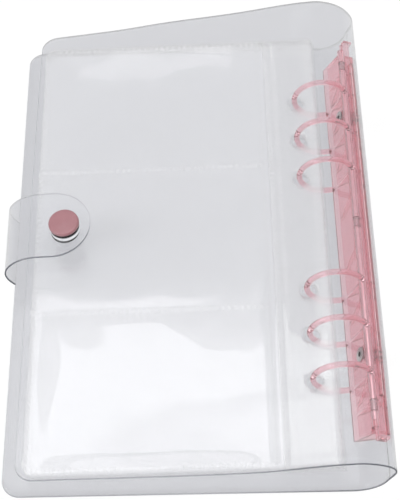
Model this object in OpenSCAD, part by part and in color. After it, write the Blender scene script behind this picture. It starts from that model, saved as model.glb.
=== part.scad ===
// Clear card album: a one-piece soft sheet cover with a snap strap,
// a six-ring plastic mechanism riveted to the spine, and three-pocket card leaves.
// The album lies closed on its back cover. X runs across from the fore-edge to the spine,
// Y along the spine and Z up, in millimetres.

/* [Cover] */
// Length of the cover along the spine
cover_l = 203; // [198:1:212]
// Thickness of the clear sheet
sheet_t = 0.5; // [0.4:0.05:0.6]
// Radius of the cover's outer corners
corner_r = 6.5; // [4:0.5:9]
// Setback of the front cover's fore-edge from the back cover's
front_setback = 6.5; // [4:0.5:8]
// Radius of the bend where the spine turns over the rings
crown_r = 8; // [7.8:0.1:8.4]
// Radius of the crown above the rings
crown_top_r = 16.7; // [16.4:0.1:17.2]
// Slope of the front cover as it comes down from the crown
shoulder_slope = 15; // [14:0.5:16]
// Slope of the front cover's flat part
front_slope = 4; // [3.5:0.25:4.5]
// Drop of the cover over the rings towards its near end
near_drop = 3; // [0:0.25:3]
// Rise of the cover over the rings towards its far end
far_rise = 2.5; // [0:0.25:3]
// Dip of the front cover's far corner
fore_dip = 5; // [0:0.25:5]

/* [Strap] */
// Width of the strap along the spine
strap_w = 28.7; // [24:0.1:34]
// Reach of the strap past the back cover's fore-edge, to its rounded tip
strap_reach = 30.5; // [29:0.5:34]
// Distance of the snap from the back cover's fore-edge
snap_x = 20.5; // [19:0.5:22]
// Diameter of the snap's cap
cap_d = 11.8; // [11:0.1:13]

/* [Rings] */
// Distance from the back cover's fore-edge to the ring centres
ring_x = 122.75; // [122:0.25:124]
// Height of the ring centres
ring_z = 13.5; // [13.25:0.25:14]
// Radius of the rings, to the middle of the rod
ring_r = 10.8; // [10.6:0.1:10.9]
// Diameter of the ring rod
rod_d = 2.2; // [2:0.1:2.8]
// Spacing of the rings in each group of three
ring_pitch = 19; // [19:1:20]
// Spacing between the two groups
ring_gap = 51; // [48:1:54]
// Lean of the mechanism from upright
lean = 20; // [19:0.5:21]
// Length of the mechanism
base_l = 171; // [168:1:174]
// Distance between the two rivets
rivet_gap = 108; // [106:1:110]

/* [Leaves] */
// Width of a leaf across the album
leaf_w = 113; // [110:0.5:113]
// Length of a leaf along the spine
leaf_l = 194; // [188:1:196]
// Thickness of one film
film_t = 0.2; // [0.15:0.05:0.2]
// Distance from a leaf's punched holes to its bound edge
hole_margin = 8.5; // [7.5:0.1:8.5]
// Diameter of the punched holes
hole_d = 6.5; // [6.2:0.1:6.6]
// Height between neighbouring leaves
leaf_step = 0.8; // [0.75:0.05:0.8]

/* [Hidden] */
$fn = 64;
leaf_count = 6;

clear_sheet = [0.82, 0.84, 0.88, 0.5];
clear_film = [0.88, 0.89, 0.92, 0.5];
rose_plastic = [0.86, 0.52, 0.56];
rose_paint = [0.72, 0.42, 0.46];
steel = [0.78, 0.78, 0.8];
half_t = sheet_t / 2;
// Slit left at each fold between two bodies
slit = 0.1;
// Steps in each tight and each gentle stretch of the sheet
bend_steps = 12;
gentle_steps = 6;
// Steps along the flat of the front cover, round its corners and along the spine
flat_steps = 6;
corner_steps = 5;
station_steps = 16;

// Points along the section of the sheet, as [across, up]
function way(a) = [cos(a), sin(a)];
function bend(p, a0, a1, r, steps = bend_steps) =
  [for (i = [0 : steps])
    let (a = a0 + (a1 - a0) * i / steps, turn = a1 > a0 ? r : -r)
    p + turn * [sin(a) - sin(a0), cos(a0) - cos(a)]];
function last(v) = v[len(v) - 1];
function rest(v) = [for (i = [1 : len(v) - 1]) v[i]];
function heading(v, i) =
  let (d = v[min(i + 1, len(v) - 1)] - v[max(i - 1, 0)])
  d / norm(d);
function side(v, d) =
  [for (i = [0 : len(v) - 1])
    let (h = heading(v, i))
    v[i] + d * [-h[1], h[0]]];
function backwards(v) = [for (i = [len(v) - 1 : -1 : 0]) v[i]];

// The mechanism's own axes: u away from the pages, w up its face, from the ring centre
function on_base(u, w) = [ring_x, ring_z] + u * [cos(lean), -sin(lean)] + w * [sin(lean), cos(lean)];

// Section of the ring mechanism, as [u, w]
face_u = 6.9;
back_u = 13.4;
wall = 1.5;
face_low = -9.6;
face_high = 4.9;
back_low = -1;
back_high = 6;
hinge_u = 7.6;
hinge_w = 6.9;
barrel_r = 1.5;
hinge_rod_r = 0.8;
knuckle_l = 4;
knuckle_y = [-76.7, 0, 76.7];
rail_u = [9.3, 11];
rail_w = [5.9, 9.6];
// The rail's two ends along the bar, and the thumb lips past the ends of the base
rail_y = [-73, 77];
bar_l = base_l + 8;
lip_u = [8.2, 11.6];
lip_w = [5.9, 9.2];
lip_t = 1;
rivet_w = 2;
rivet_r = 1.6;
ring_y = [for (s = [-1, 1], k = [0 : 2]) s * (ring_gap / 2 + k * ring_pitch)];
rod_r = rod_d / 2;
// Angles round a ring, from the u axis: upper root, the two ends of the half-lap joint, lower root
root_high_a = 42;
lap_a = [183.5, 191.5];
root_low_a = 316;
// Slits left in the joint, round the ring and across it
lap_slit_a = 1.5;
lap_slit = 0.25;

// Section of the cover, from the back panel round the spine to the front cover's fore-edge
spine_a = 90 - lean;
spine_u = back_u + half_t;
spine_low = on_base(spine_u, back_low);
spine_high = on_base(spine_u, back_high);
low_r = (spine_low[1] - half_t) / (1 - cos(spine_a));
back_w = spine_low[0] - low_r * sin(spine_a);
low_path = bend([back_w, half_t], 0, spine_a, low_r);
crown_a = 135;
crown_side = bend(spine_high, spine_a, crown_a, crown_r);
crown_path = concat(crown_side, rest(bend(last(crown_side), crown_a, 180, crown_top_r)));
front_start = last(crown_path) - [slit, 0];
shoulder = bend(front_start, 180, 180 + shoulder_slope, 45, gentle_steps);
shoulder_end = last(shoulder) + 9 * way(180 + shoulder_slope);
front_bend = bend(shoulder_end, 180 + shoulder_slope, 180 + front_slope, 132, gentle_steps);
flat_start = last(front_bend);
function front_z(x) = flat_start[1] + (x - flat_start[0]) * tan(front_slope);
corner_x = front_setback + corner_r;
flat_x = concat(
  [for (i = [1 : flat_steps]) flat_start[0] + (corner_x - flat_start[0]) * i / flat_steps],
  [for (i = [1 : corner_steps]) corner_x - corner_r * sin(90 * i / corner_steps)]);
front_path = concat(shoulder, front_bend, [for (x = flat_x) [x, front_z(x)]]);
front_half_l = [for (p = front_path)
  let (past = max(corner_x - p[0], 0))
  cover_l / 2 - corner_r + sqrt(max(corner_r * corner_r - past * past, 0))];

// The sheet isn't straight along the spine: it drops at its near end, rises at its far end
// over the rings, and dips at the front cover's far corner
near_flat_y = -(ring_gap / 2 + 2 * ring_pitch + 3);
far_start_y = -30;
fore_start_y = 13.5;
crown_z = [spine_high[1], last(crown_path)[1]];
function ease(a, b, v) =
  let (t = min(max((v - a) / (b - a), 0), 1))
  t * t * (3 - 2 * t);
function crown_share(p) =
  p[0] > front_start[0] ? pow((p[1] - crown_z[0]) / (crown_z[1] - crown_z[0]), 2) : ease(snap_x + 9, 88, p[0]);
function fore_share(p) = 1 - ease(0, 80, p[0]);
function crown_lift(y) =
  far_rise * ease(far_start_y, cover_l / 2, y) - near_drop * (1 - ease(-cover_l / 2, near_flat_y, y));
function fore_lift(y) = -fore_dip * pow(max(y - fore_start_y, 0) / (cover_l / 2 - fore_start_y), 1.5);
function lift(p, y) = crown_share(p) * crown_lift(y) + fore_share(p) * fore_lift(y);

// Section of the strap, from the back panel's fore-edge up and over the front cover
strap_slope = front_slope;
strap_side = bend([-sheet_t, half_t], 130, 60, 11.4);
strap_path = concat(strap_side, rest(bend(last(strap_side), 60, strap_slope, 13.3)));
tongue_start = last(strap_path) + slit * way(strap_slope);
function tongue_z(x) = tongue_start[1] + (x - tongue_start[0]) * tan(strap_slope);

// The album's middle, from the strap's bulge to the spine
bulge_x = min([for (p = strap_path) p[0]]) - half_t;
spine_x = max([for (p = crown_path) p[0]]) + half_t;
x_mid = (bulge_x + spine_x) / 2;

module placed() { translate([-x_mid, 0, 0]) children(); }

// Extrudes an [across, up] outline along the spine, centred on y
module along(l, y = 0) {
  translate([0, y, 0]) rotate([90, 0, 0]) linear_extrude(height = l, center = true) children();
}

module sheet(path, l) {
  along(l) polygon(concat(side(path, half_t), backwards(side(path, -half_t))));
}

// Flat outline with its two fore-edge corners rounded
module fore_plate(x0, x1, l, r) {
  translate([x0 + r, -l / 2]) square([x1 - x0 - r, l]);
  translate([x0, r - l / 2]) square([x1 - x0, l - 2 * r]);
  for (s = [-1, 1]) translate([x0 + r, s * (l / 2 - r)]) circle(r);
}

module back_panel() {
  placed() color(clear_sheet) linear_extrude(height = sheet_t) fore_plate(0, back_w - slit, cover_l, corner_r);
}

module lower_bend() { placed() color(clear_sheet) sheet(low_path, cover_l); }

module spine_panel() {
  low = on_base(spine_u, back_low) + slit * way(spine_a);
  high = on_base(spine_u, back_high) - slit * way(spine_a);
  placed() color(clear_sheet) difference() {
    sheet([low, high], cover_l);
    rivet_holes();
  }
}

// A sheet along a section, lifted along the spine, with its half length at each point of the section
function quad(a, b, c, d) = [[a, b, c], [a, c, d]];

module lifted_sheet(path, half_l) {
  n = len(path) - 1;
  m = station_steps;
  function id(face, i, j) = (face * (n + 1) + i) * (m + 1) + j;
  points = [for (face = [side(path, half_t), side(path, -half_t)], i = [0 : n], j = [0 : m])
    let (y = half_l[i] * (2 * j / m - 1))
    [face[i][0], y, face[i][1] + lift(path[i], y)]];
  under = [for (i = [0 : n - 1], j = [0 : m - 1])
    each quad(id(0, i, j), id(0, i, j + 1), id(0, i + 1, j + 1), id(0, i + 1, j))];
  over = [for (i = [0 : n - 1], j = [0 : m - 1])
    each quad(id(1, i, j), id(1, i + 1, j), id(1, i + 1, j + 1), id(1, i, j + 1))];
  ends = [for (i = [0 : n - 1]) each concat(
    quad(id(0, i, 0), id(0, i + 1, 0), id(1, i + 1, 0), id(1, i, 0)),
    quad(id(0, i, m), id(1, i, m), id(1, i + 1, m), id(0, i + 1, m)))];
  edges = [for (j = [0 : m - 1]) each concat(
    quad(id(0, 0, j), id(1, 0, j), id(1, 0, j + 1), id(0, 0, j + 1)),
    quad(id(0, n, j), id(0, n, j + 1), id(1, n, j + 1), id(1, n, j)))];
  polyhedron(points, concat(under, over, ends, edges));
}

module upper_bend() {
  placed() color(clear_sheet) lifted_sheet(crown_path, [for (p = crown_path) cover_l / 2]);
}

module front_panel() {
  placed() color(clear_sheet) difference() {
    lifted_sheet(front_path, front_half_l);
    on_front() cylinder(r = post_r, h = 4, center = true);
  }
}

module strap_bend() { placed() color(clear_sheet) sheet(strap_path, strap_w); }

module strap_tongue() {
  tongue_l = (strap_reach - tongue_start[0]) / cos(strap_slope);
  tip_r = strap_w / 2;
  snap_run = (snap_x - tongue_start[0]) / cos(strap_slope);
  placed() color(clear_sheet) translate([tongue_start[0], 0, tongue_start[1]])
    rotate([0, -strap_slope, 0]) difference() {
      translate([0, 0, -half_t]) linear_extrude(height = sheet_t) intersection() {
        union() {
          translate([0, -tip_r]) square([tongue_l - tip_r, strap_w]);
          translate([tongue_l - tip_r, 0]) circle(tip_r);
        }
        translate([0, -tip_r]) square([tongue_l, strap_w]);
      }
      translate([snap_run, 0, 0]) cylinder(r = post_r, h = 4, center = true);
    }
}

// Snap fastener: cap and socket on the strap, stud and post on the front cover
post_r = 1.7;
cap_r = cap_d / 2;
cap_h = 1.6;
cap_crown = 0.15;
cap_edge_r = 0.9;
socket_r = 5.7;
socket_h = 3.3;
socket_bore_r = 3.2;
socket_bore_h = 2.6;
groove_r = 3.7;
groove_z = 1.2;
spring_r = 0.25;
stud_flange_r = 5.5;
stud_flange_h = 0.9;
stud_head_r = 2.6;
stud_neck_r = 2.1;
stud_h = 3.4;
post_head_r = 4.6;
post_head_h = 0.7;

module on_strap() {
  translate([snap_x, 0, tongue_z(snap_x)]) rotate([0, -strap_slope, 0]) children();
}

module on_front() {
  translate([snap_x, 0, front_z(snap_x)]) rotate([0, -front_slope, 0]) children();
}

module snap_cap() {
  placed() color(rose_paint) on_strap() {
    translate([0, 0, half_t]) rotate_extrude() polygon(concat(
      [[0, 0], [cap_r - 0.3, 0], [cap_r, 0.3]],
      [for (i = [0 : 6]) let (a = 90 * i / 6)
        [cap_r - cap_edge_r * (1 - cos(a)), cap_h - cap_edge_r * (1 - sin(a))]],
      [[0, cap_h + cap_crown]]));
    translate([0, 0, -half_t - 0.3]) cylinder(r = post_r - 0.1, h = sheet_t + 0.4);
  }
}

module snap_socket() {
  placed() color(steel) on_strap() translate([0, 0, -half_t - socket_h]) rotate_extrude() polygon([
    [socket_bore_r, 0], [socket_r - 0.6, 0], [socket_r, 0.6],
    [socket_r, socket_h - 0.4], [socket_r - 0.4, socket_h],
    [post_r, socket_h], [post_r, socket_bore_h], [socket_bore_r, socket_bore_h],
    [socket_bore_r, groove_z + 0.4], [groove_r, groove_z + 0.4], [groove_r, groove_z - 0.4],
    [socket_bore_r, groove_z - 0.4]]);
}

module snap_spring() {
  placed() color(steel) on_strap() translate([0, 0, -half_t - socket_h + groove_z])
    rotate_extrude(angle = 300) translate([groove_r - 0.1 - spring_r, 0]) circle(spring_r);
}

module snap_stud() {
  placed() color(steel) on_front() translate([0, 0, half_t]) rotate_extrude() polygon([
    [post_r, 0], [stud_flange_r, 0], [stud_flange_r, 0.4], [stud_flange_r - 0.5, stud_flange_h],
    [stud_neck_r, stud_flange_h], [stud_neck_r, stud_h - 1.2], [stud_head_r, stud_h - 0.8],
    [stud_head_r, stud_h - 0.4], [stud_head_r - 0.4, stud_h], [post_r, stud_h]]);
}

module snap_post() {
  placed() color(steel) on_front() {
    translate([0, 0, -half_t - post_head_h]) difference() {
      cylinder(r = post_head_r, h = post_head_h);
      translate([0, 0, -1]) cylinder(r = 1, h = 4);
    }
    translate([0, 0, -half_t]) difference() {
      cylinder(r = post_r - 0.1, h = sheet_t + 2);
      translate([0, 0, -1]) cylinder(r = 1, h = 4);
    }
  }
}

// Sets its children in the mechanism's own axes: x away from the pages, z up its face
module on_mechanism() {
  placed() translate([ring_x, 0, ring_z]) rotate([0, lean, 0]) children();
}

module rivet_holes() {
  translate([ring_x, 0, ring_z]) rotate([0, lean, 0]) for (s = [-1, 1])
    translate([0, s * rivet_gap / 2, rivet_w]) rotate([0, 90, 0]) cylinder(r = rivet_r, h = 20);
}

// A stretch of ring rod between two angles round a ring
module ring_arc(a0, a1, r) {
  rotate([90, 0, 0]) rotate([0, 0, a0]) rotate_extrude(angle = a1 - a0) translate([ring_r, 0]) circle(r);
}

// The half of the rod taken away over the joint, outside or inside the ring's middle line
module lap_cut(a0, a1, outside) {
  r0 = outside ? ring_r - lap_slit / 2 : ring_r - rod_d;
  r1 = outside ? ring_r + rod_d : ring_r + lap_slit / 2;
  rotate([90, 0, 0]) rotate([0, 0, a0]) rotate_extrude(angle = a1 - a0)
    translate([r0, -rod_d]) square([r1 - r0, 2 * rod_d]);
}

base_section = [
  [face_u, face_high], [face_u, face_low], [face_u + 1, face_low], [back_u, back_low], [back_u, back_high],
  [back_u - wall, back_high], [back_u - wall, back_low + 0.4], [face_u + wall, face_low + 3.4],
  [face_u + wall, face_high]];
// Filled section of the ribs that cross the channel
rib_section = [
  [face_u, face_high], [face_u, face_low], [face_u + 1, face_low], [back_u, back_low], [back_u, face_high]];
rib_t = 1.2;
rib_y = concat(ring_y, [-74.5, 74.5]);
// Slant of the base's two ends across its face
end_slant = 0.2;
// Slanted braces behind the face, between the ribs
brace_y = [-68.5, -54, -35, -12, 12, 35, 54, 68.5];
brace_t = 0.9;
brace_h = 1.5;
brace_w = [-6, 4];
brace_run = 7;

module knuckle(y) {
  difference() {
    translate([hinge_u, y, hinge_w]) rotate([90, 0, 0])
      cylinder(r = barrel_r, h = knuckle_l, center = true);
    hinge_bore(hinge_rod_r);
  }
  foot_h = hinge_w - hinge_rod_r - face_high + 0.6;
  translate([face_u, y - knuckle_l / 2, face_high - 1]) cube([wall, knuckle_l, foot_h]);
}

module hinge_bore(r) {
  translate([hinge_u, 0, hinge_w]) rotate([90, 0, 0]) cylinder(r = r, h = base_l + 20, center = true);
}

// The space between the base's two slanted ends
module between_ends(l) {
  high = 20;
  rotate([90, 0, 90]) linear_extrude(height = back_u + 1) polygon([
    [end_slant * high - l / 2, -high], [end_slant * high + l / 2, -high],
    [l / 2 - end_slant * high, high], [-l / 2 - end_slant * high, high]]);
}

module brace(y) {
  translate([face_u + wall - 0.1, y, 0]) rotate([90, 0, 90]) linear_extrude(height = brace_h) polygon([
    [-brace_run / 2, brace_w[0]], [brace_t - brace_run / 2, brace_w[0]],
    [brace_run / 2, brace_w[1]], [brace_run / 2 - brace_t, brace_w[1]]]);
}

module ring_base() {
  on_mechanism() color(rose_plastic) difference() {
    union() {
      intersection() {
        along(base_l + 10) polygon(base_section);
        between_ends(base_l);
      }
      intersection() {
        along(base_l + 10) polygon(rib_section);
        difference() {
          between_ends(base_l);
          between_ends(base_l - 2 * rib_t);
        }
      }
      for (y = rib_y) along(rib_t, y) polygon(rib_section);
      for (y = brace_y) brace(y);
      for (y = knuckle_y) knuckle(y);
      for (s = [-1, 1]) translate([face_u, s * rivet_gap / 2, rivet_w]) rotate([0, 90, 0])
        cylinder(r = 3.2, h = back_u - face_u);
      for (y = ring_y) translate([0, y, 0]) difference() {
        ring_arc(lap_a[0] + lap_slit_a, root_low_a, rod_r);
        lap_cut(lap_a[0], lap_a[1] + lap_slit_a, true);
      }
    }
    for (s = [-1, 1]) translate([0, s * rivet_gap / 2, rivet_w]) rotate([0, 90, 0])
      cylinder(r = rivet_r, h = 20);
  }
}

module ring_bar() {
  on_mechanism() color(rose_plastic) difference() {
    union() {
      along(rail_y[1] - rail_y[0], (rail_y[0] + rail_y[1]) / 2) polygon([
        [rail_u[0], rail_w[0]], [rail_u[1], rail_w[0]], [rail_u[1], rail_w[1] - 1],
        [rail_u[1] - 0.8, rail_w[1]], [rail_u[0], rail_w[1]]]);
      along(bar_l) polygon([
        [hinge_u, hinge_w - 0.9], [rail_u[1], hinge_w - 0.9],
        [rail_u[1], hinge_w + 0.9], [hinge_u, hinge_w + 0.9]]);
      translate([hinge_u, 0, hinge_w]) rotate([90, 0, 0])
        cylinder(r = barrel_r, h = base_l - 1, center = true);
      for (s = [-1, 1]) along(lip_t, s * (bar_l - lip_t) / 2) translate([lip_u[0], lip_w[0]])
        square([lip_u[1] - lip_u[0], lip_w[1] - lip_w[0]]);
      for (y = ring_y) translate([0, y, 0]) difference() {
        ring_arc(root_high_a, lap_a[1], rod_r);
        lap_cut(lap_a[0], lap_a[1] + 2, false);
      }
    }
    hinge_bore(hinge_rod_r + 0.07);
    for (y = knuckle_y) translate([face_u - 2, y - knuckle_l / 2 - 0.3, face_high - 1])
      cube([rail_u[0] + 0.1 - face_u + 2, knuckle_l + 0.6, 6]);
  }
}

module hinge_rod() {
  on_mechanism() color(steel) translate([hinge_u, 0, hinge_w]) rotate([90, 0, 0])
    cylinder(r = hinge_rod_r, h = base_l - 7, center = true);
}

module rivets() {
  head_u = back_u + sheet_t;
  on_mechanism() color(steel) for (s = [-1, 1])
    translate([0, s * rivet_gap / 2, rivet_w]) rotate([0, 90, 0]) difference() {
      union() {
        translate([0, 0, face_u - 0.6]) cylinder(r = rivet_r, h = head_u - face_u + 0.7);
        translate([0, 0, head_u]) cylinder(r = 3.2, h = 0.5);
        translate([0, 0, head_u + 0.5]) cylinder(r1 = 3.2, r2 = 2.4, h = 0.4);
      }
      cylinder(r = 1, h = head_u - 0.5);
    }
}

module rivet_washers() {
  on_mechanism() color(steel) for (s = [-1, 1])
    translate([face_u - 0.5, s * rivet_gap / 2, rivet_w]) rotate([0, 90, 0]) difference() {
      cylinder(r = 2.7, h = 0.5);
      translate([0, 0, -1]) cylinder(r = rivet_r, h = 3);
    }
}

// Leaves: a base film, a front film welded into three pockets that open to the spine,
// and a doubled strip with the holes
weld_t = 0.1;
weld_w = 1.2;
leaf_droop = 2;
first_drop = 1.6;
leaf_corner_r = 4;
pocket_w = 90;
strip_w = 19.4;
divider_y = leaf_l / 6;
end_weld_y = (leaf_l - weld_w) / 2;
function leaf_drop(k) = first_drop + (k - 1) * leaf_step;
function hole_x(k) = -sqrt(ring_r * ring_r - pow(leaf_drop(k), 2));
function fore_x(k) = hole_x(k) + hole_margin - leaf_w;

// Sets its children on a leaf: x from the ring centre, z from the bottom of its base film
module on_leaf(k) {
  placed() translate([ring_x, 0, ring_z]) rotate([0, -leaf_droop, 0])
    translate([0, 0, -leaf_drop(k) - film_t - weld_t / 2]) children();
}

module leaf_holes(k) {
  for (y = ring_y) translate([hole_x(k), y, -1]) cylinder(d = hole_d, h = 3);
}

module leaf_film(k) {
  on_leaf(k) color(clear_film) difference() {
    linear_extrude(height = film_t) fore_plate(fore_x(k), fore_x(k) + leaf_w, leaf_l, leaf_corner_r);
    leaf_holes(k);
  }
}

module leaf_pockets(k) {
  on_leaf(k) color(clear_film) translate([0, 0, film_t]) {
    translate([0, 0, weld_t]) linear_extrude(height = film_t)
      fore_plate(fore_x(k), fore_x(k) + pocket_w, leaf_l, leaf_corner_r);
    translate([fore_x(k), leaf_corner_r - leaf_l / 2, 0])
      cube([weld_w, leaf_l - 2 * leaf_corner_r, weld_t]);
    for (y = [-end_weld_y, -divider_y, divider_y, end_weld_y])
      translate([fore_x(k) + leaf_corner_r, y - weld_w / 2, 0])
        cube([pocket_w - leaf_corner_r, weld_w, weld_t]);
  }
}

module leaf_strip(k) {
  x1 = fore_x(k) + leaf_w;
  on_leaf(k) color(clear_film) difference() {
    translate([x1 - strip_w, -leaf_l / 2, film_t]) {
      translate([0, 0, weld_t]) cube([strip_w, leaf_l, film_t]);
      cube([weld_w, leaf_l, weld_t]);
      translate([strip_w - weld_w, 0, 0]) cube([weld_w, leaf_l, weld_t]);
    }
    leaf_holes(k);
  }
}

back_panel();
lower_bend();
spine_panel();
upper_bend();
front_panel();
strap_bend();
strap_tongue();
snap_cap();
snap_socket();
snap_spring();
snap_stud();
snap_post();
ring_base();
ring_bar();
hinge_rod();
rivets();
rivet_washers();
for (k = [1 : leaf_count]) {
  leaf_film(k);
  leaf_pockets(k);
  leaf_strip(k);
}
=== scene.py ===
import math

import bmesh
import bpy
from mathutils import Matrix, Quaternion, Vector, noise


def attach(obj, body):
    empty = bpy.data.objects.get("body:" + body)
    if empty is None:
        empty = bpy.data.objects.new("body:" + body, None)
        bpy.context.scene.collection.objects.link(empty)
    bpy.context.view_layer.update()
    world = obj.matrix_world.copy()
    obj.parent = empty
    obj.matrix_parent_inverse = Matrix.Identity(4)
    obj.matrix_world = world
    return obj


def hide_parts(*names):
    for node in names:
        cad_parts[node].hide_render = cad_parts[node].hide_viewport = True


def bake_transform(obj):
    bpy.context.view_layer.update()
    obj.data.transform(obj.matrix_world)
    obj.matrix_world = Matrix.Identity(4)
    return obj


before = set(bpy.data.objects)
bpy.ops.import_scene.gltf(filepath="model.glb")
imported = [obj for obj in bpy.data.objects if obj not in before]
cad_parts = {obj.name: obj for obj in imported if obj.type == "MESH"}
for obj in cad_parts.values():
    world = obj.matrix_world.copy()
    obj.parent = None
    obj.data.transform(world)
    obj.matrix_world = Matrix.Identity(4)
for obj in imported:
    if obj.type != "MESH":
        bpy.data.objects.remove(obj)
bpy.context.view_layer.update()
scene = bpy.context.scene
scene.view_settings.view_transform = "Standard"
print("frame loaded:", len(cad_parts), "nodes")

# Album coordinates are in mm: x from the back cover's fore-edge, y from the middle, z from the table
album = {"xMid": 67.471, "length": 203.0, "sheet": 0.5, "corner": 6.5, "frontSetback": 6.5}
rings = {"x": 122.75, "z": 13.5, "radius": 10.8, "lean": 20.0, "spineOut": 13.65}
seamReach = 0.0008


def at(x, y, z):
    return Vector(((x - album["xMid"]) / 1000, y / 1000, z / 1000))


def onBase(u, w):
    a = math.radians(rings["lean"])
    return (rings["x"] + u * math.cos(a) + w * math.sin(a), rings["z"] - u * math.sin(a) + w * math.cos(a))


def smoothStep(lo, hi, v):
    t = min(max((v - lo) / (hi - lo), 0.0), 1.0)
    return t * t * (3 - 2 * t)


def mix(a, b, t):
    return a + (b - a) * t


# A smooth line through a few points, read by the share of its length
def smoothLine(points):
    marks = [0.0]
    for a, b in zip(points, points[1:]):
        marks.append(marks[-1] + math.dist(a, b))

    def read(share):
        s = min(max(share, 0.0), 1.0) * marks[-1]
        i = max(k for k in range(len(points) - 1) if marks[k] <= s + 1e-9)
        t = (s - marks[i]) / (marks[i + 1] - marks[i])
        ends = []
        for k in (i, i + 1):
            lo, hi = max(k - 1, 0), min(k + 1, len(points) - 1)
            run = marks[hi] - marks[lo]
            ends.append([(points[hi][c] - points[lo][c]) / run for c in (0, 1)])
        run = marks[i + 1] - marks[i]
        out = []
        for c in (0, 1):
            p0, p1, m0, m1 = points[i][c], points[i + 1][c], ends[0][c] * run, ends[1][c] * run
            out.append((2 * t**3 - 3 * t**2 + 1) * p0 + (t**3 - 2 * t**2 + t) * m0
                       + (3 * t**2 - 2 * t**3) * p1 + (t**3 - t**2) * m1)
        return out

    read.length = marks[-1]
    return read


# Camera, fitted to the photograph: 400 x 500 picture, 1308 px focal length
cameraSet = {"place": (72.7, -271.4, 438.5), "pitch": 58.24, "yaw": -0.14, "roll": -1.24,
             "lens": 94.18, "sensor": 36, "clipStart": 0.01}


def makeCamera(s):
    pitch, yaw, roll = (math.radians(s[k]) for k in ("pitch", "yaw", "roll"))
    ahead = Vector((math.sin(yaw) * math.cos(pitch), math.cos(yaw) * math.cos(pitch), -math.sin(pitch)))
    right = Vector((math.cos(yaw), -math.sin(yaw), 0))
    up = right.cross(ahead)
    camRight = right * math.cos(roll) + up * math.sin(roll)
    camUp = up * math.cos(roll) - right * math.sin(roll)
    cam = bpy.data.objects.new("camera", bpy.data.cameras.new("camera"))
    cam.data.lens = s["lens"]
    cam.data.sensor_width = s["sensor"]
    cam.data.clip_start = s["clipStart"]
    turn = Matrix((camRight, camUp, -ahead)).transposed().to_4x4()
    cam.matrix_world = Matrix.Translation(at(*s["place"])) @ turn
    scene.collection.objects.link(cam)
    scene.camera = cam


makeCamera(cameraSet)
scene.cycles.transparent_max_bounces = 64
scene.cycles.max_bounces = 24
scene.cycles.transmission_bounces = 24
print("camera made")


# Materials
def newMaterial(name):
    mat = bpy.data.materials.new(name)
    mat.use_nodes = True
    mat.node_tree.nodes.clear()
    return mat, mat.node_tree


def maths(tree, operation, a, b=None, clamp=False):
    n = tree.nodes.new("ShaderNodeMath")
    n.operation = operation
    n.use_clamp = clamp
    for i, v in enumerate((a, b)):
        if v is None:
            continue
        if isinstance(v, (int, float)):
            n.inputs[i].default_value = v
        else:
            tree.links.new(v, n.inputs[i])
    return n.outputs[0]


def noiseOn(tree, coords, scale, detail=3.0):
    n = tree.nodes.new("ShaderNodeTexNoise")
    n.inputs["Scale"].default_value = scale
    n.inputs["Detail"].default_value = detail
    tree.links.new(coords, n.inputs["Vector"])
    return n.outputs["Fac"]


def principled(tree, colour, rough, **more):
    n = tree.nodes.new("ShaderNodeBsdfPrincipled")
    n.inputs["Base Color"].default_value = (*colour, 1)
    n.inputs["Roughness"].default_value = rough
    for key, value in more.items():
        n.inputs[key.replace("_", " ")].default_value = value
    return n


def bumpFrom(tree, height, strength, distance):
    b = tree.nodes.new("ShaderNodeBump")
    b.inputs["Strength"].default_value = strength
    b.inputs["Distance"].default_value = distance
    tree.links.new(height, b.inputs["Height"])
    return b.outputs["Normal"]


# Mirror share of a clear face, the same from inside and outside
def glossShare(tree, normal=None):
    weight = tree.nodes.new("ShaderNodeLayerWeight")
    weight.inputs["Blend"].default_value = 0.5
    if normal is not None:
        tree.links.new(normal, weight.inputs["Normal"])
    return maths(tree, "MULTIPLY_ADD", maths(tree, "POWER", weight.outputs["Facing"], 5.0), 0.9)


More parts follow.
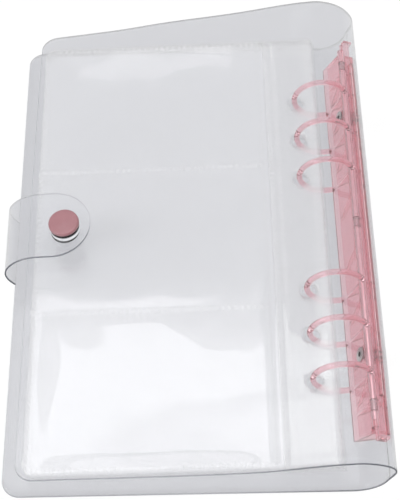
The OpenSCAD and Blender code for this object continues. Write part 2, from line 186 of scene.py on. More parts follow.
# Clear film: see-through, a little milky, with a mirror gloss on top
def clearFilm(name, s, welds=None):
    mat, tree = newMaterial(name)
    coords = tree.nodes.new("ShaderNodeTexCoord").outputs["Object"]
    cloud = noiseOn(tree, coords, s["cloudScale"])
    haze = maths(tree, "MULTIPLY_ADD", cloud, s["cloud"])
    haze.node.inputs[2].default_value = s["haze"] - s["cloud"] / 2
    normal = bumpFrom(tree, noiseOn(tree, coords, s["rippleScale"], 2.0), s["ripple"], s["rippleDepth"])
    if welds is not None:
        pattern, strip = welds(tree)
        haze = maths(tree, "ADD", haze, maths(tree, "MULTIPLY", strip, s["stripHaze"]))
        haze = maths(tree, "ADD", haze, maths(tree, "MULTIPLY", pattern, s["weldHaze"]), clamp=True)
        dented = bumpFrom(tree, pattern, s["weldDent"], 0.0002)
        tree.links.new(normal, dented.node.inputs["Normal"])
        normal = dented
    through = tree.nodes.new("ShaderNodeBsdfTransparent")
    through.inputs["Color"].default_value = (*s["tint"], 1)
    milk = principled(tree, s["milk"], 0.45, Specular_IOR_Level=0.0)
    tree.links.new(normal, milk.inputs["Normal"])
    if welds is not None:
        tint = tree.nodes.new("ShaderNodeMix")
        tint.data_type = "RGBA"
        tint.inputs["A"].default_value = (*s["milk"], 1)
        tint.inputs["B"].default_value = (*s["stripMilk"], 1)
        tree.links.new(strip, tint.inputs["Factor"])
        tree.links.new(tint.outputs["Result"], milk.inputs["Base Color"])
    body = tree.nodes.new("ShaderNodeMixShader")
    tree.links.new(haze, body.inputs["Fac"])
    tree.links.new(through.outputs[0], body.inputs[1])
    tree.links.new(milk.outputs[0], body.inputs[2])
    gloss = tree.nodes.new("ShaderNodeBsdfGlossy")
    gloss.inputs["Roughness"].default_value = s["rough"]
    tree.links.new(normal, gloss.inputs["Normal"])
    share = glossShare(tree, normal)
    share.node.inputs[2].default_value = s["gloss"]
    full = tree.nodes.new("ShaderNodeMixShader")
    tree.links.new(share, full.inputs["Fac"])
    tree.links.new(body.outputs[0], full.inputs[1])
    tree.links.new(gloss.outputs[0], full.inputs[2])
    if "edgeLine" in s:
        full = withPaintedEdgeLine(tree, full, s["edgeLine"])
    out = tree.nodes.new("ShaderNodeOutputMaterial")
    tree.links.new(full.outputs[0], out.inputs["Surface"])
    return mat


# How strongly the painted edge shade shows, by its place across the album in mm
def paintedEdgeShadeDepth(tree, s):
    coords = tree.nodes.new("ShaderNodeTexCoord").outputs["Object"]
    parts = tree.nodes.new("ShaderNodeSeparateXYZ")
    tree.links.new(coords, parts.inputs[0])
    depth = tree.nodes.new("ShaderNodeMapRange")
    depth.interpolation_type = "SMOOTHSTEP"
    for key, value in (("From Min", at(s["from"], 0, 0).x), ("From Max", at(s["to"], 0, 0).x),
                       ("To Min", s["start"]), ("To Max", s["end"])):
        depth.inputs[key].default_value = value
    tree.links.new(parts.outputs["X"], depth.inputs["Value"])
    return depth.outputs["Result"]


# A painted dark line inside the cut edge, painted shade standing in for the light caught in the sheet;
# a UV map holds the mm from the near and far edges
def withPaintedEdgeLine(tree, clear, s):
    uv = tree.nodes.new("ShaderNodeUVMap")
    uv.uv_map = "edgeDistance"
    parts = tree.nodes.new("ShaderNodeSeparateXYZ")
    tree.links.new(uv.outputs[0], parts.inputs[0])
    lines = []
    for axis, strength in (("X", s["near"]), ("Y", s["far"])):
        fade = tree.nodes.new("ShaderNodeMapRange")
        fade.interpolation_type = "SMOOTHSTEP"
        fade.inputs["From Min"].default_value = s["full"]
        fade.inputs["From Max"].default_value = s["gone"]
        fade.inputs["To Min"].default_value = strength
        fade.inputs["To Max"].default_value = 0.0
        tree.links.new(parts.outputs[axis], fade.inputs["Value"])
        lines.append(fade.outputs["Result"])
    lines[0] = maths(tree, "MULTIPLY", lines[0], paintedEdgeShadeDepth(tree, s["along"]))
    # painted shade: a near-black colour mixed into the film along the cut edges
    dark = principled(tree, (0.035, 0.045, 0.07), 0.2)
    both = tree.nodes.new("ShaderNodeMixShader")
    tree.links.new(maths(tree, "MAXIMUM", *lines), both.inputs["Fac"])
    tree.links.new(clear.outputs[0], both.inputs[1])
    tree.links.new(dark.outputs[0], both.inputs[2])
    return both


sheetLook = {"tint": (0.986, 0.987, 0.99), "milk": (0.70, 0.71, 0.74), "haze": 0.015,
             "cloud": 0.01, "cloudScale": 18, "ripple": 0.12, "rippleScale": 25, "rippleDepth": 0.004,
             "rough": 0.1, "gloss": 0.02}
# Strengths of the painted dark edge line (painted shade) at the near and far cut edges, and how it deepens
# across
edgeLook = {"near": 0.8, "far": 0.04, "full": 0.12, "gone": 0.6,
            "along": {"from": 70.0, "to": 138.0, "start": 0.3, "end": 1.0}}
strapAlong = {"from": -2.5, "to": 6.0, "start": 1.0, "end": 0.7}
backFilm = clearFilm("coverSheetBack", {**sheetLook, "edgeLine": {**edgeLook, "near": 0.5}})
frontFilm = clearFilm("coverSheetFront", {**sheetLook, "edgeLine": {**edgeLook, "far": 0.2}})
strapLine = {**edgeLook, "far": 0.1, "along": strapAlong}
strapFilm = clearFilm("coverSheetStrap", {**sheetLook, "edgeLine": strapLine})


# Cut edges of the sheet, seen lengthwise through the plastic: their near-black to grey colour is painted
# shade, deeper or lighter across the album as the along settings give, with a random speckle
def cutEdge(name, along):
    mat, tree = newMaterial(name)
    coords = tree.nodes.new("ShaderNodeTexCoord").outputs["Object"]
    # painted shade from the edge's place across the album, plus a random speckle
    wearAndEdgeShade = maths(tree, "MULTIPLY_ADD", noiseOn(tree, coords, 120.0), 0.3, clamp=True)
    tree.links.new(maths(tree, "SUBTRACT", 0.9, paintedEdgeShadeDepth(tree, along)), wearAndEdgeShade.node.inputs[2])
    ramp = tree.nodes.new("ShaderNodeValToRGB")
    ramp.color_ramp.elements[0].color = (0.03, 0.036, 0.055, 1)
    ramp.color_ramp.elements[1].color = (0.42, 0.44, 0.48, 1)
    tree.links.new(wearAndEdgeShade, ramp.inputs["Fac"])
    solid = principled(tree, (0.2, 0.2, 0.25), 0.25)
    tree.links.new(ramp.outputs["Color"], solid.inputs["Base Color"])
    out = tree.nodes.new("ShaderNodeOutputMaterial")
    tree.links.new(solid.outputs[0], out.inputs["Surface"])
    return mat


coverEdge = cutEdge("coverCutEdge", edgeLook["along"])
strapEdge = cutEdge("strapCutEdge", strapAlong)

leafLayout = {"width": 113.0, "length": 194.0, "mouth": 90.0, "foreWeld": 1.5,
              "stripWelds": (93.6, 96.6, 110.2, 112.3), "stripStart": 92.1, "endWeld": 95.4,
              "stitch": 2.4, "weldHalf": 0.9, "mouthHalf": 0.35, "mouthShare": 0.4}


# Dotted heat welds and the doubled strip, drawn on the leaf's own flat coordinates in mm
def weldPattern(tree):
    s = leafLayout
    uv = tree.nodes.new("ShaderNodeUVMap")
    uv.uv_map = "leafFlat"
    parts = tree.nodes.new("ShaderNodeSeparateXYZ")
    tree.links.new(uv.outputs[0], parts.inputs[0])
    x = maths(tree, "MULTIPLY", parts.outputs["X"], s["width"])
    y = maths(tree, "MULTIPLY", parts.outputs["Y"], s["length"])

    def near(value, middle, half):
        n = maths(tree, "COMPARE", value, middle)
        n.node.inputs[2].default_value = half
        return n

    def dots(value):
        turn = maths(tree, "MULTIPLY", value, 2 * math.pi / s["stitch"])
        return maths(tree, "GREATER_THAN", maths(tree, "SINE", turn), -0.1)

    inPocket = maths(tree, "LESS_THAN", x, s["mouth"])
    columns = near(x, s["foreWeld"], s["weldHalf"])
    for place in s["stripWelds"]:
        columns = maths(tree, "MAXIMUM", columns, near(x, place, s["weldHalf"]))
    fromMiddle = maths(tree, "ABSOLUTE", maths(tree, "SUBTRACT", y, s["length"] / 2))
    rows = near(fromMiddle, s["length"] / 6, s["weldHalf"])
    rows = maths(tree, "MAXIMUM", rows, near(fromMiddle, s["endWeld"], s["weldHalf"]))
    rows = maths(tree, "MULTIPLY", rows, inPocket)
    mouthEdge = maths(tree, "MULTIPLY", near(x, s["mouth"], s["mouthHalf"]), s["mouthShare"])
    stitched = maths(tree, "MAXIMUM", maths(tree, "MULTIPLY", columns, dots(y)),
                     maths(tree, "MULTIPLY", rows, dots(x)))
    strip = maths(tree, "GREATER_THAN", x, s["stripStart"])
    return maths(tree, "MAXIMUM", stitched, mouthEdge), strip


leafLook = {"tint": (0.998, 0.998, 0.999), "milk": (0.95, 0.95, 0.955), "stripMilk": (0.65, 0.65, 0.66),
            "haze": 0.03, "cloud": 0.012, "cloudScale": 30, "ripple": 0.25, "rippleScale": 14,
            "rippleDepth": 0.003, "rough": 0.12, "gloss": 0.01, "weldHaze": 0.004, "weldDent": 0.1,
            "stripHaze": 0.06}
topLeafLook = {**leafLook, "gloss": 0.06, "rough": 0.045, "weldHaze": 0.2, "weldDent": 0.6,
               "stripHaze": 0.0, "stripMilk": leafLook["milk"]}
topLeafFilm = clearFilm("leafFilmTop", topLeafLook, weldPattern)
leafFilm = clearFilm("leafFilm", leafLook, weldPattern)
# Film edges pass the light straight on
leafEdge = clearFilm("leafFilmEdge", {**leafLook, "gloss": 0.0})


# Clear rose plastic of the rings: it bends the light, and its colour deepens with the light's way in it
def rosePlastic(s):
    mat, tree = newMaterial("roseRingPlastic")
    coords = tree.nodes.new("ShaderNodeTexCoord").outputs["Object"]
    ramp = tree.nodes.new("ShaderNodeValToRGB")
    ramp.color_ramp.elements[0].color = (*s["dark"], 1)
    ramp.color_ramp.elements[1].color = (*s["light"], 1)
    tree.links.new(noiseOn(tree, coords, 90.0), ramp.inputs["Fac"])
    solid = principled(tree, s["light"], s["rough"], IOR=1.46, Transmission_Weight=s["clear"])
    tree.links.new(ramp.outputs["Color"], solid.inputs["Base Color"])
    uneven = maths(tree, "MULTIPLY_ADD", noiseOn(tree, coords, 300.0), s["rough"])
    uneven.node.inputs[2].default_value = s["rough"] / 2
    tree.links.new(uneven, solid.inputs["Roughness"])
    tree.links.new(bumpFrom(tree, noiseOn(tree, coords, 250.0), 0.1, 0.0004), solid.inputs["Normal"])
    depth = tree.nodes.new("ShaderNodeVolumeAbsorption")
    depth.inputs["Color"].default_value = (*s["depth"], 1)
    depth.inputs["Density"].default_value = s["density"]
    out = tree.nodes.new("ShaderNodeOutputMaterial")
    tree.links.new(solid.outputs[0], out.inputs["Surface"])
    tree.links.new(depth.outputs[0], out.inputs["Volume"])
    return mat


# Opaque finishes: a base colour that wanders a little, with fine bump and uneven gloss
def finish(name, s):
    mat, tree = newMaterial(name)
    coords = tree.nodes.new("ShaderNodeTexCoord").outputs["Object"]
    spread = noiseOn(tree, coords, s["scale"])
    ramp = tree.nodes.new("ShaderNodeValToRGB")
    ramp.color_ramp.elements[0].color = (*s["dark"], 1)
    ramp.color_ramp.elements[1].color = (*s["light"], 1)
    tree.links.new(spread, ramp.inputs["Fac"])
    solid = principled(tree, s["light"], s["rough"], Metallic=s.get("metal", 0.0),
                       Coat_Weight=s.get("coat", 0.0))
    solid.inputs["Coat Roughness"].default_value = 0.12
    tree.links.new(ramp.outputs["Color"], solid.inputs["Base Color"])
    uneven = maths(tree, "MULTIPLY_ADD", noiseOn(tree, coords, s["scale"] * 6), s["rough"] * 0.5)
    uneven.node.inputs[2].default_value = s["rough"] * 0.75
    tree.links.new(uneven, solid.inputs["Roughness"])
    grain = noiseOn(tree, coords, s["grain"])
    tree.links.new(bumpFrom(tree, grain, s["bump"], 0.0004), solid.inputs["Normal"])
    out = tree.nodes.new("ShaderNodeOutputMaterial")
    tree.links.new(solid.outputs[0], out.inputs["Surface"])
    return mat


# Turned nickel of the snap with painted light: dark painted shade under the cap and between the two
# halves, a bright painted reflection band between them; heights are in metres along the snap's axis
def paintedShadeNickel(s):
    mat, tree = newMaterial("snapNickelPaintedShade")
    coords = tree.nodes.new("ShaderNodeTexCoord").outputs["Object"]
    height = tree.nodes.new("ShaderNodeVectorMath")
    height.operation = "DOT_PRODUCT"
    tilt = math.radians(s["tilt"])
    height.inputs[1].default_value = (-math.sin(tilt), 0, math.cos(tilt))
    tree.links.new(coords, height.inputs[0])
    span = tree.nodes.new("ShaderNodeMapRange")
    span.inputs["From Min"].default_value, span.inputs["From Max"].default_value = s["span"]
    tree.links.new(height.outputs["Value"], span.inputs["Value"])
    ramp = tree.nodes.new("ShaderNodeValToRGB")
    while len(ramp.color_ramp.elements) < len(s["bands"]):
        ramp.color_ramp.elements.new(0.5)
    for element, (place, tone) in zip(ramp.color_ramp.elements, s["bands"]):
        element.position = place
        element.color = (tone, tone, tone * 1.01, 1)
    tree.links.new(span.outputs["Result"], ramp.inputs["Fac"])
    solid = principled(tree, (0.8, 0.8, 0.8), s["rough"], Metallic=1.0)
    tree.links.new(ramp.outputs["Color"], solid.inputs["Base Color"])
    uneven = maths(tree, "MULTIPLY_ADD", noiseOn(tree, coords, 1800.0), s["rough"])
    uneven.node.inputs[2].default_value = s["rough"] / 2
    tree.links.new(uneven, solid.inputs["Roughness"])
    tree.links.new(bumpFrom(tree, noiseOn(tree, coords, 3000.0), 0.05, 0.0004), solid.inputs["Normal"])
    out = tree.nodes.new("ShaderNodeOutputMaterial")
    tree.links.new(solid.outputs[0], out.inputs["Surface"])
    return mat


rosePlasticMat = rosePlastic({"dark": (0.93, 0.70, 0.74), "light": (0.96, 0.78, 0.81), "rough": 0.05,
                              "clear": 0.93, "depth": (0.99, 0.45, 0.52), "density": 120})
capPaint = finish("capRosePaint", {"dark": (0.29, 0.125, 0.14), "light": (0.37, 0.165, 0.185),
                                   "rough": 0.3, "coat": 0.5, "scale": 260, "grain": 2500, "bump": 0.1})
# The bands are painted light: painted shade at the dark tones, a painted reflection at the bright middle
snapMetal = paintedShadeNickel({"tilt": 4.0, "span": (0.019, 0.024), "rough": 0.14,
                          "bands": [(0.0, 0.6), (0.02, 0.6), (0.04, 0.03), (0.14, 0.03), (0.2, 0.55),
                                    (0.26, 0.5), (0.3, 0.2), (0.37, 0.92), (0.68, 0.92), (0.76, 0.02),
                                    (1.0, 0.02)]})
rivetMetal = finish("rivetPlate", {"dark": (0.42, 0.38, 0.38), "light": (0.62, 0.58, 0.58),
                                   "rough": 0.32, "metal": 1.0, "scale": 350, "grain": 2600, "bump": 0.1})
wireSteel = finish("wireSteel", {"dark": (0.84, 0.83, 0.83), "light": (0.94, 0.92, 0.92),
                                 "rough": 0.12, "metal": 1.0, "scale": 250, "grain": 3000, "bump": 0.08})
print("materials made")


# A flat grid, set in place point by point, with its thickness, smooth faces and cut edges dark with
# painted shade
def bentSheet(name, columns, rows, place, thickness, looks, plainEdge):
    bm = bmesh.new()
    bmesh.ops.create_grid(bm, x_segments=columns, y_segments=rows, size=0.5)
    layer = bm.loops.layers.uv.new("edgeDistance")
    placed = {v: place(v.co.x + 0.5, v.co.y + 0.5) for v in bm.verts}
    for v, (point, half) in placed.items():
        for loop in v.link_loops:
            loop[layer].uv = ((v.co.y + 0.5) * 2 * half, (0.5 - v.co.y) * 2 * half)
    for v, (point, half) in placed.items():
        v.co = point
    mesh = bpy.data.meshes.new(name)
    bm.to_mesh(mesh)
    bm.free()
    obj = bpy.data.objects.new(name, mesh)
    scene.collection.objects.link(obj)
    for m in looks:
        mesh.materials.append(m)
    thick = obj.modifiers.new("thickness", "SOLIDIFY")
    thick.thickness = thickness / 1000
    thick.offset = 0
    thick.material_offset_rim = 1
    applyModifiers(obj)
    for p in obj.data.polygons:
        if p.material_index == 1 and (p.normal.y > 0.2 or plainEdge(p.center)):
            p.material_index = 0
        p.use_smooth = p.material_index == 0
    obj.visible_shadow = False
    return obj


def applyModifiers(obj):
    depsgraph = bpy.context.evaluated_depsgraph_get()
    baked = bpy.data.meshes.new_from_object(obj.evaluated_get(depsgraph))
    old = obj.data
    obj.modifiers.clear()
    obj.data = baked
    bpy.data.meshes.remove(old)


# Half width of a panel whose two outer corners are rounded, at a distance in from its fore-edge
def halfWidth(inward, half, corner):
    if inward >= corner:
        return half
    return half - corner + math.sqrt(max(corner**2 - (corner - inward) ** 2, 0.0))


# More grid lines near a rounded fore-edge: share 0 at the fore-edge
foreGrid = {"lines": 0.16, "reach": 0.06}


def foreShare(t):
    lines, reach = foreGrid["lines"], foreGrid["reach"]
    if t < lines:
        return reach * (1 - math.cos(t / lines * math.pi / 2))
    return reach + (1 - reach) * (t - lines) / (1 - lines)


# Strap: loops round from the back cover's fore-edge and ends in a rounded tongue
strap = {"line": [(0.0, 0.25), (-1.9, 3.6), (-2.75, 7.6), (-2.0, 11.2), (-0.2, 14.2), (2.5, 16.9),
                  (5.8, 18.9), (9.4, 19.9), (20.5, 20.68), (30.5, 21.38)],
         "width": 28.7, "tip": 14.35, "columns": 70, "rows": 40}


# Back half of the cover: back panel, lower bend and the lower half of the spine
backHalf = {"width": 124.32, "bendRadius": 11.614, "spineLow": -1, "spineMid": 2.5, "columns": 110,
            "rows": 60}


def makeBackHalf(s):
    a = math.radians(90 - rings["lean"])
    bendLength = s["bendRadius"] * a
    end = onBase(rings["spineOut"], s["spineMid"])
    low = onBase(rings["spineOut"], s["spineLow"])
    total = s["width"] + bendLength + math.dist(low, end)

    def place(i, j):
        run = foreShare(i) * total
        half = halfWidth(run, album["length"] / 2, album["corner"])
        y = (j - 0.5) * 2 * half
        if run <= s["width"]:
            return at(run, y, 0.25), half
        if run <= s["width"] + bendLength:
            t = (run - s["width"]) / s["bendRadius"]
            x, z = s["width"] + s["bendRadius"] * math.sin(t), 0.25 + s["bendRadius"] * (1 - math.cos(t))
            return at(x, y, z), half
        t = (run - s["width"] - bendLength) / math.dist(low, end)
        return at(mix(low[0], end[0], t), y, mix(low[1], end[1], t)), half

    # No cut edge at the seam in the spine, or where the strap runs on from the fore-edge
    def plainEdge(c):
        atStrap = c.x < at(0.3, 0, 0).x and abs(c.y) < strap["width"] / 2000
        return atStrap or math.hypot(c.x - at(end[0], 0, 0).x, c.z - end[1] / 1000) < seamReach

    obj = bentSheet("coverBackHalf", s["columns"], s["rows"], place, album["sheet"], (backFilm, coverEdge),
                    plainEdge)
    at(low[0], 0, low[1])
    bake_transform(obj)
    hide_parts("back_panel", "lower_bend")


# Front half of the cover: sections of the upper spine, upper bend and front panel at the near end,
# over the rings and at the far end
frontHalf = {
    "near": [(136.43, 11.18), (137.1, 13.0), (137.75, 14.9), (138.0, 16.7), (137.5, 18.7), (136.2, 20.5),
             (134.0, 22.1), (131.0, 23.5), (126.2, 24.6), (118.5, 24.0), (109.5, 22.4), (94.5, 19.2),
             (77.0, 17.6), (46.6, 16.3), (22.4, 15.7), (6.5, 14.9)],
    "middle": [(136.43, 11.18), (137.62, 14.4), (138.1, 17.2), (137.6, 19.9), (135.8, 22.9), (132.3, 25.5),
               (128.3, 27.2), (124.0, 27.75), (118.0, 27.4), (112.2, 26.2), (103.5, 23.9), (91.1, 21.2),
               (78.6, 19.7), (46.0, 17.4), (22.4, 15.8), (6.5, 14.7)],
    "far": [(136.43, 11.18), (137.62, 14.4), (138.15, 17.4), (137.3, 20.3), (135.2, 23.7), (132.5, 26.5),
            (128.1, 29.0), (122.6, 30.3), (115.6, 29.7), (108.6, 28.5), (87.8, 24.0), (59.9, 19.2),
            (39.4, 14.9), (25.4, 12.6), (6.5, 9.6)],
    "bendStart": (137.63, 0, 14.47), "bendEnd": (123.96, 0, 27.75),
    "nearFlat": -66.5, "farStart": -30.0, "foreStart": 13.5, "columns": 120, "rows": 80}


def makeFrontHalf(s):
    nearLine, middleLine, farLine = (smoothLine(s[k]) for k in ("near", "middle", "far"))
    end = album["length"] / 2

    def place(i, j):
        share = foreShare(i)
        half = halfWidth(share * middleLine.length, end, album["corner"])
        y = (j - 0.5) * 2 * half
        byNear = 1 - smoothStep(-end, s["nearFlat"], y)
        bySpine = smoothStep(s["farStart"], end, y)
        byFore = (max(y - s["foreStart"], 0) / (end - s["foreStart"])) ** 1.5
        byFar = mix(byFore, bySpine, smoothStep(0.2, 0.6, share))
        n, m, f = (line(1 - share) for line in (nearLine, middleLine, farLine))
        x, z = (m[c] + byNear * (n[c] - m[c]) + byFar * (f[c] - m[c]) for c in (0, 1))
        return at(x, y, z), half

    seamX, seamZ = onBase(rings["spineOut"], backHalf["spineMid"])

    def plainEdge(c):
        return math.hypot(c.x - at(seamX, 0, 0).x, c.z - seamZ / 1000) < seamReach

    obj = bentSheet("coverFrontHalf", s["columns"], s["rows"], place, album["sheet"],
                    (frontFilm, coverEdge), plainEdge)
    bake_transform(obj)
    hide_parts("spine_panel", "upper_bend", "front_panel")


makeBackHalf(backHalf)
makeFrontHalf(frontHalf)
print("cover made")


def makeStrap(s):
    line = smoothLine(s["line"])

    def place(i, j):
        share = 1 - foreShare(1 - i)
        left = (1 - share) * line.length
        half = halfWidth(left, s["width"] / 2, s["tip"])
        p = line(share)
        return at(p[0], (j - 0.5) * 2 * half, p[1]), half

    obj = bentSheet("closureStrap", s["columns"], s["rows"], place, album["sheet"], (strapFilm, strapEdge),
                    lambda c: c.x < at(0.3, 0, 0).x and c.z < 0.0006)
    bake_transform(obj)
    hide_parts("strap_bend", "strap_tongue")


makeStrap(strap)
print("strap made")


# Leaves: each a flat pillow of two films with crowned pockets and punched holes
leaves = {"count": 6, "firstDrop": 1.6, "step": 0.8, "droop": 2.0, "holeMargin": 8.5, "hole": 6.5,
          "thick": 0.4, "corner": 4.0, "puffTop": (0.5, 0.04, 0.16), "puffRest": (0.12, 0.12, 0.12),
          "nearFall": 0.94, "fall": 0.7, "film": 0.2,
          "filmEdges": {44: 89.85, 45: 90.15, 46: 93.45, 47: 93.75}, "columns": 56, "rows": 96,
          "ringY": (25.5, 44.5, 63.5)}


def makeLeaf(k, s):
    w, l = leafLayout["width"], leafLayout["length"]
    drop = s["firstDrop"] + (k - 1) * s["step"]
    holeX = -math.sqrt(rings["radius"] ** 2 - drop**2)
    fore = holeX + s["holeMargin"] - w
    droop = math.radians(s["droop"])
    puff = s["puffTop"] if k == 1 else s["puffRest"]

    # A point of the leaf, from its own flat coordinates in mm
    def onLeaf(x, y, z):
        u, v = fore + x, z - drop
        return at(rings["x"] + u * math.cos(droop) - v * math.sin(droop), y,
                  rings["z"] + u * math.sin(droop) + v * math.cos(droop))

    # The three pockets stand up, each by its own height, and fall away towards the weld at their far side
    def lift(x, y):
        across = min(max((x - 2.5) / (leafLayout["mouth"] - 2.5), 0), 1)
        thirds = min(max((y + l / 2) / (l / 3), 0), 2.999)
        along = thirds % 1.0
        crown = smoothStep(0, 0.12, across) * (1 - smoothStep(0.85, 1, across))
        fall = s["fall"] if thirds >= 1 else mix(s["nearFall"], s["fall"], smoothStep(0.5, 0.75, across))
        crown *= smoothStep(0, 0.12, along) * (1 - smoothStep(fall, 1, along))
        wave = noise.noise(Vector((x / 34, y / 26, 7.3)))
        step = s["film"] if s["filmEdges"][45] <= x <= s["filmEdges"][46] else 0.0
        return puff[int(thirds)] * crown * (1 + wave) - step

    # Grid lines stand close together where the pocket film ends and the strip begins
    def acrossLeaf(share):
        line = round(share * s["columns"])
        return s["filmEdges"].get(line, share * w)

    bm = bmesh.new()
    bmesh.ops.create_grid(bm, x_segments=s["columns"], y_segments=s["rows"], size=0.5)
    layer = bm.loops.layers.uv.new("leafFlat")
    for face in bm.faces:
        for loop in face.loops:
            loop[layer].uv = (acrossLeaf(loop.vert.co.x + 0.5) / w, loop.vert.co.y + 0.5)
    top = bmesh.ops.extrude_face_region(bm, geom=bm.faces[:])
    topVerts = {g for g in top["geom"] if isinstance(g, bmesh.types.BMVert)}
    for v in bm.verts:
        x, y = acrossLeaf(v.co.x + 0.5), v.co.y * l
        y *= halfWidth(x, l / 2, s["corner"]) / (l / 2)
        v.co = onLeaf(x, y, lift(x, y) + s["thick"] / 2 if v in topVerts else -s["thick"] / 2)
    bmesh.ops.recalc_face_normals(bm, faces=bm.faces[:])
    mesh = bpy.data.meshes.new(f"leaf{k}")
    bm.to_mesh(mesh)
    bm.free()
    for m in (topLeafFilm if k == 1 else leafFilm, leafFilm, leafEdge):
        mesh.materials.append(m)
    obj = bpy.data.objects.new(f"leaf{k}", mesh)
    scene.collection.objects.link(obj)

    # Punch the six holes
    punchMesh = bpy.data.meshes.new("punch")
    bm = bmesh.new()
    for side in (-1, 1):
        for y in s["ringY"]:
            made = bmesh.ops.create_cone(bm, cap_ends=True, segments=32, radius1=s["hole"] / 2000,
                                         radius2=s["hole"] / 2000, depth=0.006)
            bmesh.ops.translate(bm, verts=made["verts"], vec=onLeaf(holeX - fore, side * y, 0))
    bm.to_mesh(punchMesh)
    bm.free()
    punch = bpy.data.objects.new("punch", punchMesh)
    scene.collection.objects.link(punch)
    cut = obj.modifiers.new("holes", "BOOLEAN")
    cut.operation = "DIFFERENCE"
    cut.solver = "EXACT"
    cut.object = punch
    applyModifiers(obj)
    bpy.data.objects.remove(punch)
    for p in obj.data.polygons:
        p.use_smooth = abs(p.normal.z) > 0.5
        p.material_index = 2 if not p.use_smooth else 0 if p.normal.z > 0 else 1
    obj.visible_shadow = False
    obj.visible_diffuse = False
    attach(obj, f"leaf_{k}")
    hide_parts(f"leaf_{k}_film", f"leaf_{k}_pockets", f"leaf_{k}_strip")


for k in range(1, leaves["count"] + 1):
    makeLeaf(k, leaves)
print("leaves made")


# Moulded pieces: the CAD shape with its edges softened, so that they catch the light
mouldings = {"ringBaseMoulding": ("ring_base", "spine"), "ringBarMoulding": ("ring_bar", "ring_bar")}
softEdge = {"width": 0.00016, "segments": 2, "sharp": 30.0, "flat": 0.5, "smooth": 50.0}


def makeMoulding(name, nodeName, body, s):
    bm = bmesh.new()
    bm.from_mesh(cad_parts[nodeName].data)
    bmesh.ops.remove_doubles(bm, verts=bm.verts[:], dist=1e-6)
    bmesh.ops.dissolve_limit(bm, angle_limit=math.radians(s["flat"]), verts=bm.verts[:], edges=bm.edges[:])
    sharp = [e for e in bm.edges if e.is_manifold and e.calc_face_angle() > math.radians(s["sharp"])]
    bmesh.ops.bevel(bm, geom=sharp, offset=s["width"], offset_type="OFFSET", affect="EDGES",
                    segments=s["segments"], profile=0.5, material=-1, clamp_overlap=True)
    bmesh.ops.recalc_face_normals(bm, faces=bm.faces[:])
    bmesh.ops.triangulate(bm, faces=bm.faces[:])
    mesh = bpy.data.meshes.new(name)
    bm.to_mesh(mesh)
    bm.free()
    mesh.materials.append(rosePlasticMat)
    for p in mesh.polygons:
        p.use_smooth = True
    mesh.set_sharp_from_angle(angle=math.radians(s["smooth"]))
    obj = bpy.data.objects.new(name, mesh)
    scene.collection.objects.link(obj)
    flats = obj.modifiers.new("flats", "WEIGHTED_NORMAL")
    flats.keep_sharp = True
    flats.weight = 100
    applyModifiers(obj)
    obj.visible_shadow = False
    obj.visible_diffuse = False
    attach(obj, body)
    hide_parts(nodeName)


for name, (nodeName, body) in mouldings.items():
    makeMoulding(name, nodeName, body, softEdge)
print("mouldings made")


# Materials on the CAD nodes that stay
def dress(nodeName, mat):
    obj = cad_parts[nodeName]
    for slot in obj.material_slots:
        slot.material = mat
    if not obj.material_slots:
        obj.data.materials.append(mat)


dress("hinge_rod", wireSteel)
dress("snap_spring", wireSteel)
dress("rivets", rivetMetal)
dress("rivet_washers", rivetMetal)
dress("snap_cap", capPaint)
for nodeName in ("snap_socket", "snap_stud", "snap_post"):
    dress(nodeName, snapMetal)
print("CAD nodes dressed")


# Stage: an even sky and a floor that is white round the album and a light grey table through its film
stage = {"floor": 6.0, "drop": 0.0006, "floorColour": (0.92, 0.92, 0.92, 1),
         "tableColour": (0.575, 0.577, 0.597, 1), "sky": 0.85, "glow": 0.85}


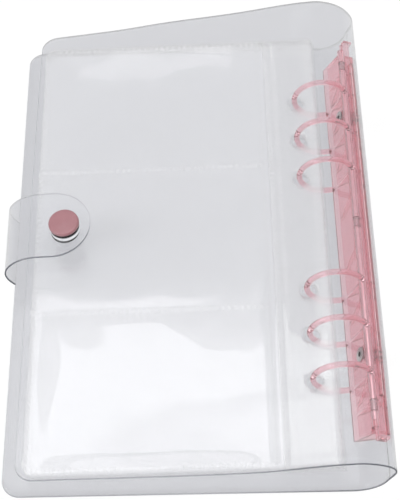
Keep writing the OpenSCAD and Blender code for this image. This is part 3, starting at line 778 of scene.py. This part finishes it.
def makeStage(s):
    bm = bmesh.new()
    bmesh.ops.create_grid(bm, x_segments=1, y_segments=1, size=s["floor"])
    bmesh.ops.translate(bm, verts=bm.verts[:], vec=(0, 0, -s["drop"]))
    mesh = bpy.data.meshes.new("floor")
    bm.to_mesh(mesh)
    bm.free()
    floor = bpy.data.objects.new("floor", mesh)
    scene.collection.objects.link(floor)
    mat, tree = newMaterial("paleFloor")
    seen = tree.nodes.new("ShaderNodeLightPath")
    pastFilm = maths(tree, "GREATER_THAN", seen.outputs["Transparent Depth"], 0.5)
    direct = maths(tree, "MAXIMUM", seen.outputs["Is Camera Ray"], seen.outputs["Is Transmission Ray"])
    throughFilm = maths(tree, "MULTIPLY", pastFilm, direct)
    colour = tree.nodes.new("ShaderNodeMix")
    colour.data_type = "RGBA"
    colour.inputs["A"].default_value = s["floorColour"]
    colour.inputs["B"].default_value = s["tableColour"]
    tree.links.new(throughFilm, colour.inputs["Factor"])
    ground = tree.nodes.new("ShaderNodeBsdfDiffuse")
    tree.links.new(colour.outputs["Result"], ground.inputs["Color"])
    glow = tree.nodes.new("ShaderNodeEmission")
    blend = tree.nodes.new("ShaderNodeMixShader")
    rays = maths(tree, "MAXIMUM", seen.outputs["Is Camera Ray"], seen.outputs["Is Glossy Ray"])
    rays = maths(tree, "MAXIMUM", rays, seen.outputs["Is Transmission Ray"])
    bare = maths(tree, "MULTIPLY", rays, maths(tree, "SUBTRACT", 1.0, throughFilm))
    tree.links.new(maths(tree, "MULTIPLY", bare, s["glow"]), blend.inputs["Fac"])
    tree.links.new(ground.outputs[0], blend.inputs[1])
    tree.links.new(glow.outputs[0], blend.inputs[2])
    out = tree.nodes.new("ShaderNodeOutputMaterial")
    tree.links.new(blend.outputs[0], out.inputs["Surface"])
    mesh.materials.append(mat)
    world = bpy.data.worlds.new("sky")
    world.use_nodes = True
    world.node_tree.nodes["Background"].inputs["Color"].default_value = (1, 1, 1, 1)
    world.node_tree.nodes["Background"].inputs["Strength"].default_value = s["sky"]
    scene.world = world


# Lamps, in metres: a large soft panel overhead, a smaller one on the left and a window behind,
# which glares on the near pockets and throws the snap's shadow forwards
lamps = {"overhead": {"place": (0.0, -0.1, 1.6), "size": (1.6, 0.9), "power": 6.0, "roll": 0},
         "left": {"place": (-1.0, -0.5, 0.9), "size": (0.6, 0.6), "power": 4.0, "roll": 0},
         "window": {"place": (-0.1, 0.47, 1.2), "size": (0.6, 0.26), "power": 0.98, "roll": -22},
         "farWindow": {"place": (-0.14, 1.12, 1.2), "size": (0.26, 0.035), "power": 0.04, "roll": 0}}


def makeLamps(s):
    for name, lamp in s.items():
        data = bpy.data.lights.new(name, "AREA")
        data.shape = "RECTANGLE"
        data.size, data.size_y = lamp["size"]
        data.energy = lamp["power"]
        obj = bpy.data.objects.new(name, data)
        obj.location = lamp["place"]
        aim = (-Vector(lamp["place"])).to_track_quat("-Z", "Y")
        obj.rotation_euler = (aim @ Quaternion((0, 0, 1), math.radians(lamp["roll"]))).to_euler()
        scene.collection.objects.link(obj)


makeStage(stage)
makeLamps(lamps)
print("stage made")
